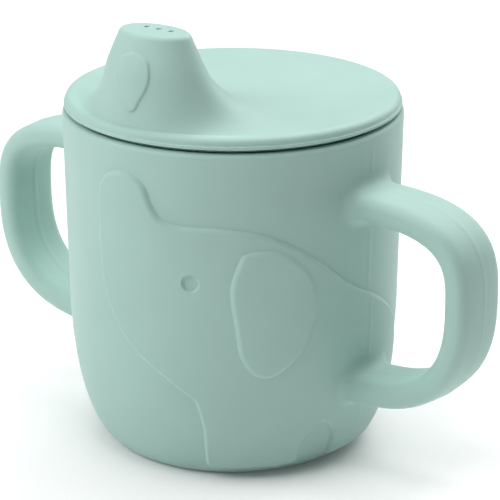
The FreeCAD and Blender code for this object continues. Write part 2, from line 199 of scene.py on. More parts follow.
def stretch_points(points, step):
    """Catmull-Rom curve through points, from the first to the last, in steps of about one length."""
    points = np.array(points, float)
    ghost = np.vstack([2 * points[0] - points[1], points, 2 * points[-1] - points[-2]])
    out = []
    for i in range(1, len(ghost) - 2):
        a, b, c, d = ghost[i - 1:i + 3]
        count = max(2, int(np.linalg.norm(c - b) / step))
        for t in np.arange(count) / count:
            out.append(0.5 * (2 * b + (c - a) * t + (2 * a - 5 * b + 4 * c - d) * t ** 2
                              + (3 * b - a - 3 * c + d) * t ** 3))
    return out


def resampled(points, step):
    """Closed line with its points spread evenly along it."""
    closed = np.vstack([points, points[:1]])
    travel = np.concatenate([[0], np.cumsum(np.linalg.norm(np.diff(closed, axis=0), axis=1))])
    places = np.linspace(0, travel[-1], int(round(travel[-1] / step)) + 1)[:-1]
    return np.stack([np.interp(places, travel, closed[:, k]) for k in range(2)], axis=1)


def closed_outline(stretches, step, rounding=1.1):
    """Smooth closed outline through stretches of points, with its corners rounded off."""
    fine_step = 0.2
    points = np.array([p for stretch in stretches for p in stretch_points(stretch, fine_step)])
    points = resampled(points, fine_step)
    for _ in range(int((rounding / fine_step) ** 2)):
        points = 0.5 * points + 0.25 * (np.roll(points, 1, axis=0) + np.roll(points, -1, axis=0))
    return resampled(points, step)


def circle_outline(centre, radius, count):
    """Evenly spread points round a circle."""
    turn = np.arange(count) * 2 * math.pi / count
    return np.stack([centre[0] + radius * np.cos(turn), centre[1] + radius * np.sin(turn)], axis=1)


def outward(outline):
    """Unit normals of a closed outline, pointing out of it."""
    along = np.roll(outline, -1, axis=0) - np.roll(outline, 1, axis=0)
    across = np.stack([along[:, 1], -along[:, 0]], axis=1)
    across /= np.linalg.norm(across, axis=1)[:, None]
    following = np.roll(outline, -1, axis=0)
    area = np.sum(outline[:, 0] * following[:, 1] - following[:, 0] * outline[:, 1])
    return across if area > 0 else -across


def inside(outline, points):
    """Which of the points lie inside a closed outline."""
    result = np.zeros(len(points), bool)
    ends = np.roll(outline, -1, axis=0)
    for (x0, y0), (x1, y1) in zip(outline, ends):
        if y0 != y1:
            crosses = (points[:, 1] < y0) != (points[:, 1] < y1)
            reach = x0 + (points[:, 1] - y0) * (x1 - x0) / (y1 - y0)
            result ^= crosses & (points[:, 0] < reach)
    return result


def distance_to(outline, points):
    """Distance from each point to a closed outline."""
    nearest = np.full(len(points), np.inf)
    ends = np.roll(outline, -1, axis=0)
    for start, end in zip(outline, ends):
        along = end - start
        share = np.clip((points - start) @ along / (along @ along), 0, 1)
        nearest = np.minimum(nearest, np.linalg.norm(points - start - share[:, None] * along, axis=1))
    return nearest


def smooth_step(t):
    """Soft ramp from 0 to 1 as t goes from 0 to 1, level outside that."""
    t = np.clip(t, 0, 1)
    return t * t * (3 - 2 * t)


class Patch:
    """Outlined area that is raised or sunk by a height: a crease, then a side that rounds over."""

    RING_SHARES = (-1.0, -0.45, 0.05, 0.45, 0.75, 1.0, 1.2)
    ROUNDNESS = 2.3

    def __init__(self, outline, height, ramp):
        self.outline = outline
        self.height = height
        self.ramp = ramp

    def rings(self):
        """Outlines that follow the sloped edge, so that the mesh can follow it too."""
        normals = outward(self.outline)
        return [self.outline + share * self.ramp * normals for share in self.RING_SHARES]

    def rise(self, points):
        """How far the patch lifts each point."""
        depth = distance_to(self.outline, points)
        depth = np.where(inside(self.outline, points), depth, -depth)
        share = np.clip(0.5 + 0.5 * depth / self.ramp, 0, 1)
        return self.height * (1 - (1 - share) ** self.ROUNDNESS)


def clear_places(grid, followed, holes, clearance):
    """Points of a grid that lie clear of all the points followed and outside the holes."""
    grid = np.array(grid)
    free = np.ones(len(grid), bool)
    for block in np.array_split(followed, len(followed) // 200 + 1):
        if len(block):
            gaps = np.linalg.norm(grid[:, None, :] - block[None, :, :], axis=2)
            free &= gaps.min(axis=1) > clearance
    for hole in holes:
        free &= ~inside(np.asarray(hole), grid)
    return grid[free]


def triangulate(border, outlines=(), lines=(), holes=(), grid=(), clearance=1.0):
    """Triangles inside a convex border that follow every outline and line and leave the holes open.

    The grid's points fill the rest, clear of everything followed. Returns the points, the triangles,
    and the point numbers of the border and of each hole's ring.
    """
    points, edges = [], []

    def add(path, closed):
        first = len(points)
        points.extend(np.asarray(path, float).tolist())
        count = len(path)
        links = count if closed else count - 1
        edges.extend((first + i, first + (i + 1) % count) for i in range(links))
        return list(range(first, first + count))

    border_ids = add(border, True)
    hole_ids = [add(hole, True) for hole in holes]
    for outline in outlines:
        add(outline, True)
    for line in lines:
        add(line, False)
    followed = np.array(points[len(border_ids):])
    points.extend(clear_places(grid, followed, holes, clearance).tolist())
    found, _, faces, origins, _, _ = delaunay_2d_cdt([Vector(p) for p in points], edges, [], 0, 1e-6)
    place = {source: number for number, sources in enumerate(origins) for source in sources}
    found = np.array([tuple(p) for p in found])
    faces = np.array(faces)
    middles = found[faces].mean(axis=1)
    keep = np.ones(len(faces), bool)
    for hole in holes:
        keep &= ~inside(np.asarray(hole), middles)
    rings = [[place[i] for i in ids] for ids in hole_ids]
    return found, faces[keep], [place[i] for i in border_ids], rings


class Sheet:
    """Triangulated rectangle whose left and right sides are the same line round the object."""

    def __init__(self, columns, rows, outlines=(), lines=(), holes=(), clearance=1.0):
        left, right, low, high = columns[0], columns[-1], rows[0], rows[-1]
        border = ([(c, low) for c in columns] + [(right, r) for r in rows[1:-1]]
                  + [(c, high) for c in columns[::-1]] + [(left, r) for r in rows[-2:0:-1]])
        grid = [(c, r) for r in rows[1:-1] for c in columns[1:-1]]
        found, faces, ids, rings = triangulate(border, outlines, lines, holes, grid, clearance)
        wide, tall = len(columns), len(rows)
        corners = [wide - 1, wide + tall - 2, 2 * wide + tall - 3]
        upper = ids[corners[1]:corners[2] + 1][::-1]
        first = [ids[0]] + ids[corners[2] + 1:][::-1] + [upper[0]]
        self.twin = dict(zip(ids[corners[0]:corners[1] + 1], first))
        self.places = found
        self.faces = faces
        self.lower = ids[:wide - 1]
        self.upper = upper[:-1]
        self.rings = rings

    def add_to(self, shell, surface, normals):
        """Add the sheet to a shell; the number there of each of the sheet's points."""
        kept = [i for i in range(len(self.places)) if i not in self.twin]
        places = self.places[kept]
        numbers = dict(zip(kept, shell.add(surface(places), normals(places))))
        numbers.update({i: numbers[twin] for i, twin in self.twin.items()})
        shell.faces.extend(tuple(numbers[i] for i in face) for face in self.faces)
        return numbers


class Shell:
    """One closed surface in millimetres, put together from patches and rings of vertices."""

    def __init__(self):
        self.points = []
        self.faces = []
        self.normals = {}

    def add(self, points, normals=None):
        """Add vertices, with their shading normals where known; returns their numbers."""
        first = len(self.points)
        self.points.extend(np.asarray(points, float).tolist())
        numbers = list(range(first, len(self.points)))
        if normals is not None:
            self.normals.update(zip(numbers, np.asarray(normals, float).tolist()))
        return numbers

    def bridge(self, ring, other):
        """Quads between two closed rings with the same count of vertices."""
        count = len(ring)
        for i in range(count):
            j = (i + 1) % count
            self.faces.append((ring[i], ring[j], other[j], other[i]))

    def chain(self, ring, rings):
        """Bridge a ring to each of the following rings of points in turn; returns the last one."""
        for points in rings:
            following = self.add(points)
            self.bridge(ring, following)
            ring = following
        return ring

    def close(self, ring, centre):
        """Fan from a ring to one point."""
        middle = self.add([centre])[0]
        count = len(ring)
        self.faces.extend((ring[i], ring[(i + 1) % count], middle) for i in range(count))

    def make(self, name):
        """Smooth-shaded object from the shell; an open edge is an error."""
        mesh = bpy.data.meshes.new(name)
        mesh.from_pydata([[c * MM for c in p] for p in self.points], [], self.faces)
        work = bmesh.new()
        work.from_mesh(mesh)
        bmesh.ops.recalc_face_normals(work, faces=work.faces)
        for edge in work.edges:
            if not edge.is_manifold:
                raise RuntimeError(f"{name} is open at {[round(c / MM, 2) for c in edge.verts[0].co]}")
        work.to_mesh(mesh)
        work.free()
        mesh.shade_smooth()
        normals = [tuple(n.vector) for n in mesh.vertex_normals]
        for number, normal in self.normals.items():
            normals[number] = normal
        mesh.normals_split_custom_set_from_vertices(normals)
        piece = bpy.data.objects.new(name, mesh)
        bpy.context.scene.collection.objects.link(piece)
        return piece


# ---------------------------------------------------------------- cup wall


def wall_profile():
    """Outer wall from the edge of the base up to the rim's rounding: points (radius, height)."""
    turn = np.linspace(0, math.pi / 2, 241)
    bend = np.stack([BASE_RADIUS + (SHOULDER_RADIUS - BASE_RADIUS) * np.sin(turn),
                     SHOULDER_HEIGHT * (1 - np.cos(turn))], axis=1)
    shoulder = np.array([[SHOULDER_RADIUS, SHOULDER_HEIGHT]])
    top = np.array([[RIM_RADIUS, RIM_HEIGHT - RIM_ROUNDING]])
    share = np.linspace(0, 1, 201)[1:, None]
    return np.vstack([bend, shoulder * (1 - share) + share * top])


PROFILE = wall_profile()
PROFILE_TRAVEL = np.concatenate([[0], np.cumsum(np.linalg.norm(np.diff(PROFILE, axis=0), axis=1))])
PROFILE_ALONG = np.gradient(PROFILE, PROFILE_TRAVEL, axis=0)


def travel_at(height):
    """Distance up the wall's profile at a height."""
    return np.interp(height, PROFILE[:, 1], PROFILE_TRAVEL)


def on_wall(places, rise):
    """Points on the wall at (distance round, distance up the profile), raised along its normal."""
    turn = places[:, 0] / RIM_RADIUS
    radius, height, along_r, along_z = [np.interp(places[:, 1], PROFILE_TRAVEL, values)
                                        for values in (*PROFILE.T, *PROFILE_ALONG.T)]
    scale = np.hypot(along_r, along_z)
    radius = radius + rise * along_z / scale
    height = height - rise * along_r / scale
    return np.stack([radius * np.sin(turn), -radius * np.cos(turn), height], axis=1)


def unrolled(outline):
    """Outline given by height, as (distance round, distance up the profile)."""
    return np.stack([outline[:, 0], travel_at(outline[:, 1])], axis=1)


RELIEF = [
    Patch(unrolled(closed_outline(ELEPHANT, RELIEF_STEP)), RELIEF_HEIGHT, RELIEF_RAMP),
    Patch(unrolled(closed_outline(EAR, RELIEF_STEP)), EAR_RISE, RELIEF_RAMP),
    Patch(unrolled(circle_outline(EYE_PLACE, EYE_RADIUS, 20)), -EYE_DEPTH, EYE_RAMP),
]


def wall_rise(places):
    """How far the wall stands out of its plain form: the relief and the two mould parting ridges."""
    rise = sum(patch.rise(places) for patch in RELIEF)
    beside = np.abs(np.abs(places[:, 0]) - GIRTH / 4)
    ridge = PARTING_RIDGE * np.clip(1 - beside / PARTING_HALF, 0, 1)
    ends = np.minimum(places[:, 1], PROFILE_TRAVEL[-1] - places[:, 1])
    return rise + ridge * smooth_step(ends / 3 - 0.2)       # the ridges fade out at rim and base


def surface_normals(surface, places, step=0.03):
    """Normals of a surface at places of its sheet, from the points just beside them."""
    along = surface(places + (step, 0)) - surface(places - (step, 0))
    up = surface(places + (0, step)) - surface(places - (0, step))
    normals = np.cross(along, up)
    return normals / np.linalg.norm(normals, axis=1)[:, None]


def cup_wall(places):
    """Points of the finished outer wall."""
    return on_wall(places, wall_rise(places))


# ---------------------------------------------------------------- handles


def band_section():
    """Outline of a handle's band as (offset away from the loop's middle, offset along Y)."""
    flat = BAND_HALF_WIDTH - BAND_CORNER
    side = BAND_HALF - BAND_CORNER
    across = [-flat, -0.65 * flat, -0.3 * flat, -PARTING_HALF]
    across += [0] + [-place for place in across[::-1]]
    half = [(BAND_HALF, place) for place in across]
    for middle, start in ((side, 0), (-side, 90)):
        for turn in np.radians(np.arange(start + 15, start + 91, 15)):
            half.append((middle + BAND_CORNER * math.cos(turn), flat + BAND_CORNER * math.sin(turn)))
    half = np.array(half[:-1])
    section = np.vstack([half, -half])
    fall = BAND_CROWN * np.clip(np.abs(section[:, 1]) / flat, 0, 1) ** 2 / BAND_HALF
    section[:, 0] *= 1 - fall
    return section


BAND = band_section()
BAND_NORMALS = outward(BAND)


def grip_line():
    """Centreline of the right-hand loop, (x, height), from the upper arm round to the lower one."""
    turn = np.linspace(0, math.pi / 2, 400)[1:-1]

    def bend(squareness, height):
        out, up = np.cos(turn) ** (2 / squareness), np.sin(turn) ** (2 / squareness)
        return np.stack([BEND_X + (GRIP_REACH - BEND_X) * out,
                         GRIP_MIDDLE + (height - GRIP_MIDDLE) * up], axis=1)

    upper = bend(UPPER_SQUARENESS, ARM_TOP)[::-1]
    lower = bend(LOWER_SQUARENESS, ARM_BOTTOM)
    line = np.vstack([upper[upper[:, 0] > UPPER_ARM_START], [[GRIP_REACH, GRIP_MIDDLE]],
                      lower[lower[:, 0] > LOWER_ARM_END]])
    travel = np.concatenate([[0], np.cumsum(np.linalg.norm(np.diff(line, axis=0), axis=1))])
    places = np.linspace(0, travel[-1], int(travel[-1] / BAND_STEP))
    return np.stack([np.interp(places, travel, line[:, k]) for k in range(2)], axis=1)


def band_rings(side):
    """Rings of the band along the loop; side is 1 for the right handle and -1 for the left one."""
    line = grip_line()
    along = np.gradient(line, axis=0)
    along /= np.linalg.norm(along, axis=1)[:, None]
    ridge = PARTING_RIDGE * (BAND[:, 1] == 0) * np.sign(BAND[:, 0])
    offset, width = BAND[:, 0] + ridge, BAND[:, 1]
    rings = []
    for (x, z), (run_x, run_z) in zip(line, along):
        rings.append(np.stack([side * (x - offset * run_z), width, z + offset * run_x], axis=1))
    return rings


def wall_gap(points, rise):
    """Distance from the raised wall, distance up the profile, and wall normal (out, up) of points."""
    radius = np.hypot(points[:, 0], points[:, 1])
    flat = np.stack([radius, points[:, 2]], axis=1)
    starts, runs = PROFILE[:-1], np.diff(PROFILE, axis=0)
    share = np.einsum("pnk,nk->pn", flat[:, None] - starts[None], runs) / np.sum(runs * runs, axis=1)
    share = np.clip(share, 0, 1)
    nearest = starts[None] + share[:, :, None] * runs[None]
    gaps = np.linalg.norm(flat[:, None] - nearest, axis=2)
    best = gaps.argmin(axis=1)
    pick = np.arange(len(points))
    normal = np.stack([runs[best, 1], -runs[best, 0]], axis=1)
    normal /= np.linalg.norm(normal, axis=1)[:, None]
    gap = np.sum((flat - nearest[pick, best]) * normal, axis=1) - rise
    travel = PROFILE_TRAVEL[best] + share[pick, best] * np.linalg.norm(runs[best], axis=1)
    return gap, travel, normal


def root_blend(height, up, rise, side, steps=8):
    """Fillet between one arm and the wall: its places on the wall, and its rings from there on.

    up is 1 where the band's outer face looks up, and -1 where it looks down.
    """
    level = np.zeros(len(BAND))
    normals = np.stack([level, BAND_NORMALS[:, 1], up * BAND_NORMALS[:, 0]], axis=1)
    centres = np.stack([level, BAND[:, 1], height + up * BAND[:, 0]], axis=1) + ROOT_BLEND * normals
    near, far = level + 25, level + 60     # the fillet's centre lies between these along X
    for _ in range(BISECTIONS):
        centres[:, 0] = (near + far) / 2
        close = wall_gap(centres, rise)[0] < ROOT_BLEND
        near, far = np.where(close, centres[:, 0], near), np.where(close, far, centres[:, 0])
    _, travel, wall_normal = wall_gap(centres, rise)
    turn = np.arctan2(centres[:, 0], -centres[:, 1])
    places = np.stack([side * turn * RIM_RADIUS, travel], axis=1)
    across = wall_normal[:, :1] * centres[:, :2] / np.hypot(centres[:, 0], centres[:, 1])[:, None]
    start = -np.column_stack([across, wall_normal[:, 1]])
    end = -normals
    angle = np.arccos(np.clip(np.sum(start * end, axis=1), -1, 1))[:, None]
    rings = []
    for share in np.arange(1, steps + 1) / steps:
        spoke = (np.sin((1 - share) * angle) * start + np.sin(share * angle) * end) / np.sin(angle)
        rings.append((centres + ROOT_BLEND * spoke) * (side, 1, 1))
    return places, rings


# ---------------------------------------------------------------- cup


def lathe(profile, turns):
    """Rings of points about the cup's axis, one for each (radius, height) of a profile."""
    out, front = np.sin(turns), -np.cos(turns)
    return [np.stack([r * out, r * front, np.full(len(turns), z)], axis=1) for r, z in profile]


def quarter(centre, radii, start, end, steps):
    """Points of an upright ellipse's arc between two angles in degrees, without the first one."""
    turn = np.radians(np.linspace(start, end, steps + 1)[1:])
    return [(centre[0] + radii[0] * math.cos(t), centre[1] + radii[1] * math.sin(t)) for t in turn]


def cup_inside():
    """Profile over the rim, down the inner wall and across the floor: (radius, height)."""
    radii = (RIM_ROUNDING, RIM_ROUNDING)
    inner, top = RIM_RADIUS - WALL, RIM_HEIGHT - RIM_ROUNDING
    inner_shoulder = SHOULDER_RADIUS - WALL
    profile = quarter((RIM_RADIUS - RIM_ROUNDING, top), radii, 0, 90, 4)
    profile += quarter((inner + RIM_ROUNDING, top), radii, 90, 180, 4)
    for share in np.linspace(0, 1, 11)[1:]:
        profile.append((inner + share * (inner_shoulder - inner), top + share * (SHOULDER_HEIGHT - top)))
    bend = (inner_shoulder - INNER_BASE_RADIUS, SHOULDER_HEIGHT - CUP_FLOOR)
    profile += quarter((INNER_BASE_RADIUS, SHOULDER_HEIGHT), bend, 0, -90, 22)
    return profile + [(r, CUP_FLOOR) for r in (22.0, 17.0, 12.0, 7.0, 3.0)]


def cup_underside():
    """Profile from the edge of the base across its shallow recess: (radius, height)."""
    slope = RECESS_RADIUS + RECESS_DEPTH
    profile = [(slope + 0.5, 0.0), (slope, 0.1), (slope - 0.4, 0.5)]
    profile.append((RECESS_RADIUS, RECESS_DEPTH - 0.05))
    return profile + [(r, RECESS_DEPTH) for r in (RECESS_RADIUS - 1, 18.0, 12.0, 7.0, 3.0)]


def parting_lines(holes, rows):
    """Lines up the wall's sides that the mesh follows along the parting ridges, clear of the roots."""
    lines = []
    for side, (upper, lower) in ((1, holes[0:2]), (-1, holes[2:4])):
        gaps = [(rows[1], lower[:, 1].min()), (lower[:, 1].max(), upper[:, 1].min()),
                (upper[:, 1].max(), rows[-2])]
        for low, high in gaps:
            heights = np.linspace(low + 0.7, high - 0.7, max(2, int((high - low) / GRID_STEP)))
            for shift in (-PARTING_HALF, 0, PARTING_HALF):
                lines.append([(side * GIRTH / 4 + shift, h) for h in heights])
    return lines


def make_cup():
    """Cup and handles as one moulding, with the relief and the parting ridges in its outer wall."""
    columns = np.linspace(-GIRTH / 2, GIRTH / 2, COLUMNS + 1)
    turns = columns[:-1] / RIM_RADIUS
    rows = np.linspace(0, PROFILE_TRAVEL[-1], int(round(PROFILE_TRAVEL[-1] / GRID_STEP)) + 1)
    roots = []
    for side in (1, -1):
        roots.append(root_blend(ARM_TOP, 1, 0.0, side))
        roots.append(root_blend(ARM_BOTTOM, -1, RELIEF_HEIGHT if side > 0 else 0.0, side))
    holes = [places for places, _ in roots]
    outlines = [ring for patch in RELIEF for ring in patch.rings()]
    sheet = Sheet(columns, rows, outlines, parting_lines(holes, rows), holes)
    shell = Shell()
    numbers = sheet.add_to(shell, cup_wall, lambda places: surface_normals(cup_wall, places))
    for side, first_root in ((1, 0), (-1, 2)):
        (_, upper_rings), (_, lower_rings) = roots[first_root:first_root + 2]
        start = [numbers[i] for i in sheet.rings[first_root]]
        end = [numbers[i] for i in sheet.rings[first_root + 1]]
        reached = shell.chain(start, upper_rings + band_rings(side) + lower_rings[::-1])
        shell.bridge(reached, end)
    inside_end = shell.chain([numbers[i] for i in sheet.upper], lathe(cup_inside(), turns))
    shell.close(inside_end, (0, 0, CUP_FLOOR))
    under_end = shell.chain([numbers[i] for i in sheet.lower], lathe(cup_underside(), turns))
    shell.close(under_end, (0, 0, RECESS_DEPTH))
    return shell.make("cup_moulding")


# ---------------------------------------------------------------- lid


def ellipse_reach(turn, half_x, half_y):
    """Distance from an ellipse's centre to its edge in a direction turned from -Y towards +X."""
    return 1 / np.hypot(np.sin(turn) / half_x, np.cos(turn) / half_y)


def circle_reach(turn, radius):
    """Distance from the spout's axis to a circle about the cup's axis."""
    along = -SPOUT_Y * np.cos(turn)
    return -along + np.sqrt(along ** 2 - SPOUT_Y ** 2 + radius ** 2)


def edge_start(turn):
    """Radius about the cup's axis where the lid's top rounds over, 1 mm further out in front."""
    return LID_FLAT_RADIUS + smooth_step(1.5 - np.abs(turn))


def throat_reach(turn, drop):
    """Distance from the spout's axis to the straight throat's outside, some way down from the top."""
    widening_x, widening_y = THROAT_WIDENING
    return ellipse_reach(turn, SPOUT_HALF_X + widening_x * drop, SPOUT_HALF_Y + widening_y * drop)


def spout_reach(turn, height):
    """Distance from the spout's axis to its outside, from the flat lid up to the spout's top.

    The throat widens downwards in a straight line, and then flares out to meet the lid. The flare
    follows the flank's curve where it has its full reach, and the front's where the edge is near.
    """
    drop = SPOUT_TOP - height
    flare_drop = np.logaddexp(0, drop - THROAT_LENGTH)
    throat_drop = drop - flare_drop
    throat = throat_reach(turn, throat_drop)
    room = circle_reach(turn, edge_start(turn) - LEDGE) - throat_reach(turn, THROAT_LENGTH)
    spread = (room ** -6.0 + FLARE_REACH ** -6.0) ** (-1 / 6)
    share = np.clip(flare_drop / (SPOUT_TOP - LID_TOP - THROAT_LENGTH), 0, 1)
    flank = 0.206 * share + 0.33 * share ** 2 + 0.464 * (1 - np.sqrt(1 - share ** 9))
    front = 0.6 * share + 0.4 * share ** 6
    mix = spread / FLARE_REACH
    return throat + spread * ((1 - mix) * front + mix * flank)


def spout_heights():
    """Heights up the spout's side, and how far each is along its surface from the flat lid."""
    side_top = SPOUT_TOP - 0.65 * SPOUT_ROUNDING
    heights = LID_TOP + (side_top - LID_TOP) * np.linspace(0, 1, 2001) ** 2
    reach = spout_reach(math.pi / 2, heights)
    return heights, np.concatenate([[0], np.cumsum(np.hypot(np.diff(heights), np.diff(reach)))])


HEIGHTS, HEIGHT_TRAVEL = spout_heights()
DROP_PANEL = Patch(closed_outline([DROP], step=0.6, rounding=0.5), PANEL_RISE, PANEL_RAMP)


def spout_side(places):
    """Points of the spout's side at (turn times SPREAD, distance up its surface)."""
    turn = places[:, 0] / SPREAD
    height = np.interp(places[:, 1], HEIGHT_TRAVEL, HEIGHTS)
    reach = spout_reach(turn, height)
    face = np.stack([reach * np.sin(turn), height], axis=1)
    reach = reach + np.where(np.cos(turn) > 0, DROP_PANEL.rise(face), 0)
    return np.stack([reach * np.sin(turn), SPOUT_Y - reach * np.cos(turn), height], axis=1)


def on_spout(outline):
    """Places on the spout's front of an outline seen from straight ahead, (x, height)."""
    low, high = np.full(len(outline), -1.4), np.full(len(outline), 1.4)     # radians
    for _ in range(BISECTIONS):
        turn = (low + high) / 2
        short = spout_reach(turn, outline[:, 1]) * np.sin(turn) < outline[:, 0]
        low, high = np.where(short, turn, low), np.where(short, high, turn)
    return np.stack([turn * SPREAD, np.interp(outline[:, 1], HEIGHTS, HEIGHT_TRAVEL)], axis=1)


def ray_turns():
    """Directions from the spout's axis, closest together where the spout or the lid's edge needs it."""
    fine = np.linspace(-math.pi, math.pi, 7201)
    weight = 0
    for reach in (ellipse_reach(fine, SPOUT_HALF_X, SPOUT_HALF_Y), circle_reach(fine, LID_FLAT_RADIUS)):
        steps = np.hypot(np.diff(reach * np.sin(fine)), np.diff(reach * np.cos(fine)))
        weight = weight + steps / steps.sum()
    travel = np.concatenate([[0], np.cumsum(weight)])
    return np.interp(np.linspace(0, travel[-1], RAYS + 1), travel, fine)


def ray_ring(turns, reach, height, centre_y=SPOUT_Y):
    """Ring of points at distances along rays from an upright axis."""
    return np.stack([reach * np.sin(turns), centre_y - reach * np.cos(turns), height + 0 * turns], axis=1)


def spout_top_rings(turns, steps=6):
    """Rounding from the spout's side on to its flat top."""
    slope = ellipse_reach(turns, *THROAT_WIDENING)
    top = ellipse_reach(turns, SPOUT_HALF_X, SPOUT_HALF_Y)
    middle = top + SPOUT_ROUNDING * (slope - np.hypot(1, slope))
    start = np.arctan(slope)
    rings = []
    for share in np.arange(1, steps + 1) / steps:
        lean = start + share * (math.pi / 2 - start)
        rings.append(ray_ring(turns, middle + SPOUT_ROUNDING * np.cos(lean),
                              SPOUT_TOP - SPOUT_ROUNDING * (1 - np.sin(lean))))
    return rings


def lid_edge_profile():
    """From the edge rounding down round the lip and the seam, the seat and the plug: (radius, height)."""
    lip_low, lip_high = RIM_HEIGHT + SEAM_GAP, RIM_HEIGHT + SEAM_GAP + LIP_HEIGHT
    side, lip = LID_SIDE_RADIUS, LIP_RADIUS
    profile = [(side + 0.02, lip_high + 0.06), (side + 0.16, lip_high), (lip - 0.06, lip_high - 0.1)]
    profile += [(lip, lip_high - 0.28), (lip, lip_low + 0.25), (lip - 0.08, lip_low + 0.07)]
    profile += [(lip - 0.26, lip_low), (SEAM_RADIUS + 0.2, lip_low), (SEAM_RADIUS, lip_low - 0.15)]
    profile += [(SEAM_RADIUS, RIM_HEIGHT + 0.1), (SEAM_RADIUS - 0.1, RIM_HEIGHT)]
    profile.append((PLUG_RADIUS + 0.2, RIM_HEIGHT))
    inner, low = PLUG_RADIUS - PLUG_THICKNESS, PLUG_LOW + PLUG_ROUNDING
    radii = (PLUG_ROUNDING, PLUG_ROUNDING)
    profile += [(PLUG_RADIUS, z) for z in np.linspace(RIM_HEIGHT - 0.2, low, 5)]
    profile += quarter((PLUG_RADIUS - PLUG_ROUNDING, low), radii, 0, -90, 4)
    profile += quarter((inner + PLUG_ROUNDING, low), radii, -90, -180, 4)
    profile += [(inner, z) for z in np.linspace(low, LID_UNDER - 0.6, 5)[1:]]
    return profile + [(inner - 0.18, LID_UNDER - 0.18), (inner - 0.6, LID_UNDER)]


def cap(shell, ring, height, holes):
    """Flat triangulated end inside a ring; the rings of vertices round its holes."""
    border = np.array([shell.points[i][:2] for i in ring])
    clearance = 0.5
    across, along = [np.arange(values.min(), values.max(), CAP_STEP) for values in border.T]
    grid = np.array([(x, y) for x in across for y in along])
    grid = grid[inside(border, grid) & (distance_to(border, grid) > clearance)]
    found, faces, ids, rings = triangulate(border, holes=holes, grid=grid, clearance=clearance)
    numbers = dict(zip(ids, ring))
    new = [i for i in range(len(found)) if i not in numbers]
    numbers.update(zip(new, shell.add([(*found[i], height) for i in new])))
    shell.faces.extend(tuple(numbers[i] for i in face) for face in faces)
    return [[numbers[i] for i in hole] for hole in rings]


def lid_top_rings(turns):
    """Rings over the flat lid and down its soft edge, and each ray's turn about the cup's axis."""
    start = edge_start(turns)
    flare_end = spout_reach(turns, LID_TOP)
    flat_end = circle_reach(turns, start)
    rings = [ray_ring(turns, flare_end + share * (flat_end - flare_end), LID_TOP)
             for share in (0.35, 0.7, 0.96, 1)]
    about = np.arctan2(flat_end * np.sin(turns), flat_end * np.cos(turns) - SPOUT_Y)
    for outwards, down in LID_EDGE:
        radius = start + (LID_SIDE_RADIUS - start) * outwards
        rings.append(ray_ring(about, radius, LID_TOP - LID_EDGE_DROP * down, centre_y=0))
    return rings, about


def passage_rings(turns):
    """Rings of the drinking passage from the lid's underside up to the inside of the spout's end."""
    levels, *sizes = zip(*PASSAGE)
    rings = []
    for height in np.linspace(LID_UNDER, INSIDE_TOP, 16):
        half_x, half_y, centre_y = [np.interp(height, levels, values) for values in sizes]
        rings.append(ray_ring(turns, ellipse_reach(turns, half_x, half_y), height, centre_y))
    return rings


def bore_holes(shell, outer_end, inner_end):
    """Close the spout's end and the passage's end, and join the two with the drinking holes."""
    places = [(x, HOLE_Y) for x in (-HOLE_PITCH, 0, HOLE_PITCH)]
    mouths = [circle_outline(place, HOLE_RADIUS + MOUTH_WIDENING, HOLE_SIDES) for place in places]
    exits = [circle_outline(place, HOLE_RADIUS, HOLE_SIDES) for place in places]
    outer_rings = cap(shell, outer_end, SPOUT_TOP, mouths)
    inner_rings = cap(shell, inner_end, INSIDE_TOP, exits)
    for place, outer, inner in zip(places, outer_rings, inner_rings):
        tube = []
        for wider, depth in HOLE_WALL:
            ring = circle_outline(place, HOLE_RADIUS + wider, HOLE_SIDES)
            tube.append([(x, y, SPOUT_TOP - depth) for x, y in ring])
        shell.bridge(shell.chain(outer, tube), inner)


def make_lid():
    """Lid with its spout, drinking holes and plug as one moulding."""
    turns = ray_turns()
    rows = np.linspace(0, HEIGHT_TRAVEL[-1], int(HEIGHT_TRAVEL[-1] / LID_ROW_STEP) + 1)
    outlines = [on_spout(ring) for ring in DROP_PANEL.rings()]
    sheet = Sheet(turns * SPREAD, rows, outlines, clearance=0.8)
    shell = Shell()
    numbers = sheet.add_to(shell, spout_side, lambda places: surface_normals(spout_side, places))
    turns = turns[:-1]
    rings, about = lid_top_rings(turns)
    rings += lathe(lid_edge_profile(), about)
    passage = passage_rings(turns)
    for share in (0.35, 0.7):
        rings.append(rings[-1] + share * (passage[0] - rings[-1]))
    inner_end = shell.chain([numbers[i] for i in sheet.lower], rings + passage)
    outer_end = shell.chain([numbers[i] for i in sheet.upper], spout_top_rings(turns))
    bore_holes(shell, outer_end, inner_end)
    return shell.make("lid_moulding")


# ---------------------------------------------------------------- silicone


def linear(red, green, blue):
    """Linear colour from sRGB values out of 255."""
    values = [c / 255 for c in (red, green, blue)]
    return tuple(c / 12.92 if c < 0.04045 else ((c + 0.055) / 1.055) ** 2.4 for c in values)


def node(tree, kind, **inputs):
    """New shader node with some of its sockets set or linked."""
    made = tree.nodes.new(kind)
    for name, value in inputs.items():
        socket = made.inputs[name.replace("_", " ")]
        if isinstance(value, bpy.types.NodeSocket):
            tree.links.new(value, socket)
        else:
            socket.default_value = value
    return made


def clouded(tree, where, colour):
    """Colour with faint, wide clouding."""
    clouds = node(tree, "ShaderNodeTexNoise", Vector=where, Scale=55.0, Detail=3.0, Roughness=0.55)
    tint = node(tree, "ShaderNodeValToRGB", Fac=clouds.outputs["Fac"])
    darker, lighter = tint.color_ramp.elements
    darker.position = 0.3
    darker.color = (*[c * 0.975 for c in colour], 1)
    lighter.position = 0.7
    lighter.color = (*[min(1, c * 1.02) for c in colour], 1)
    return tint.outputs["Color"]


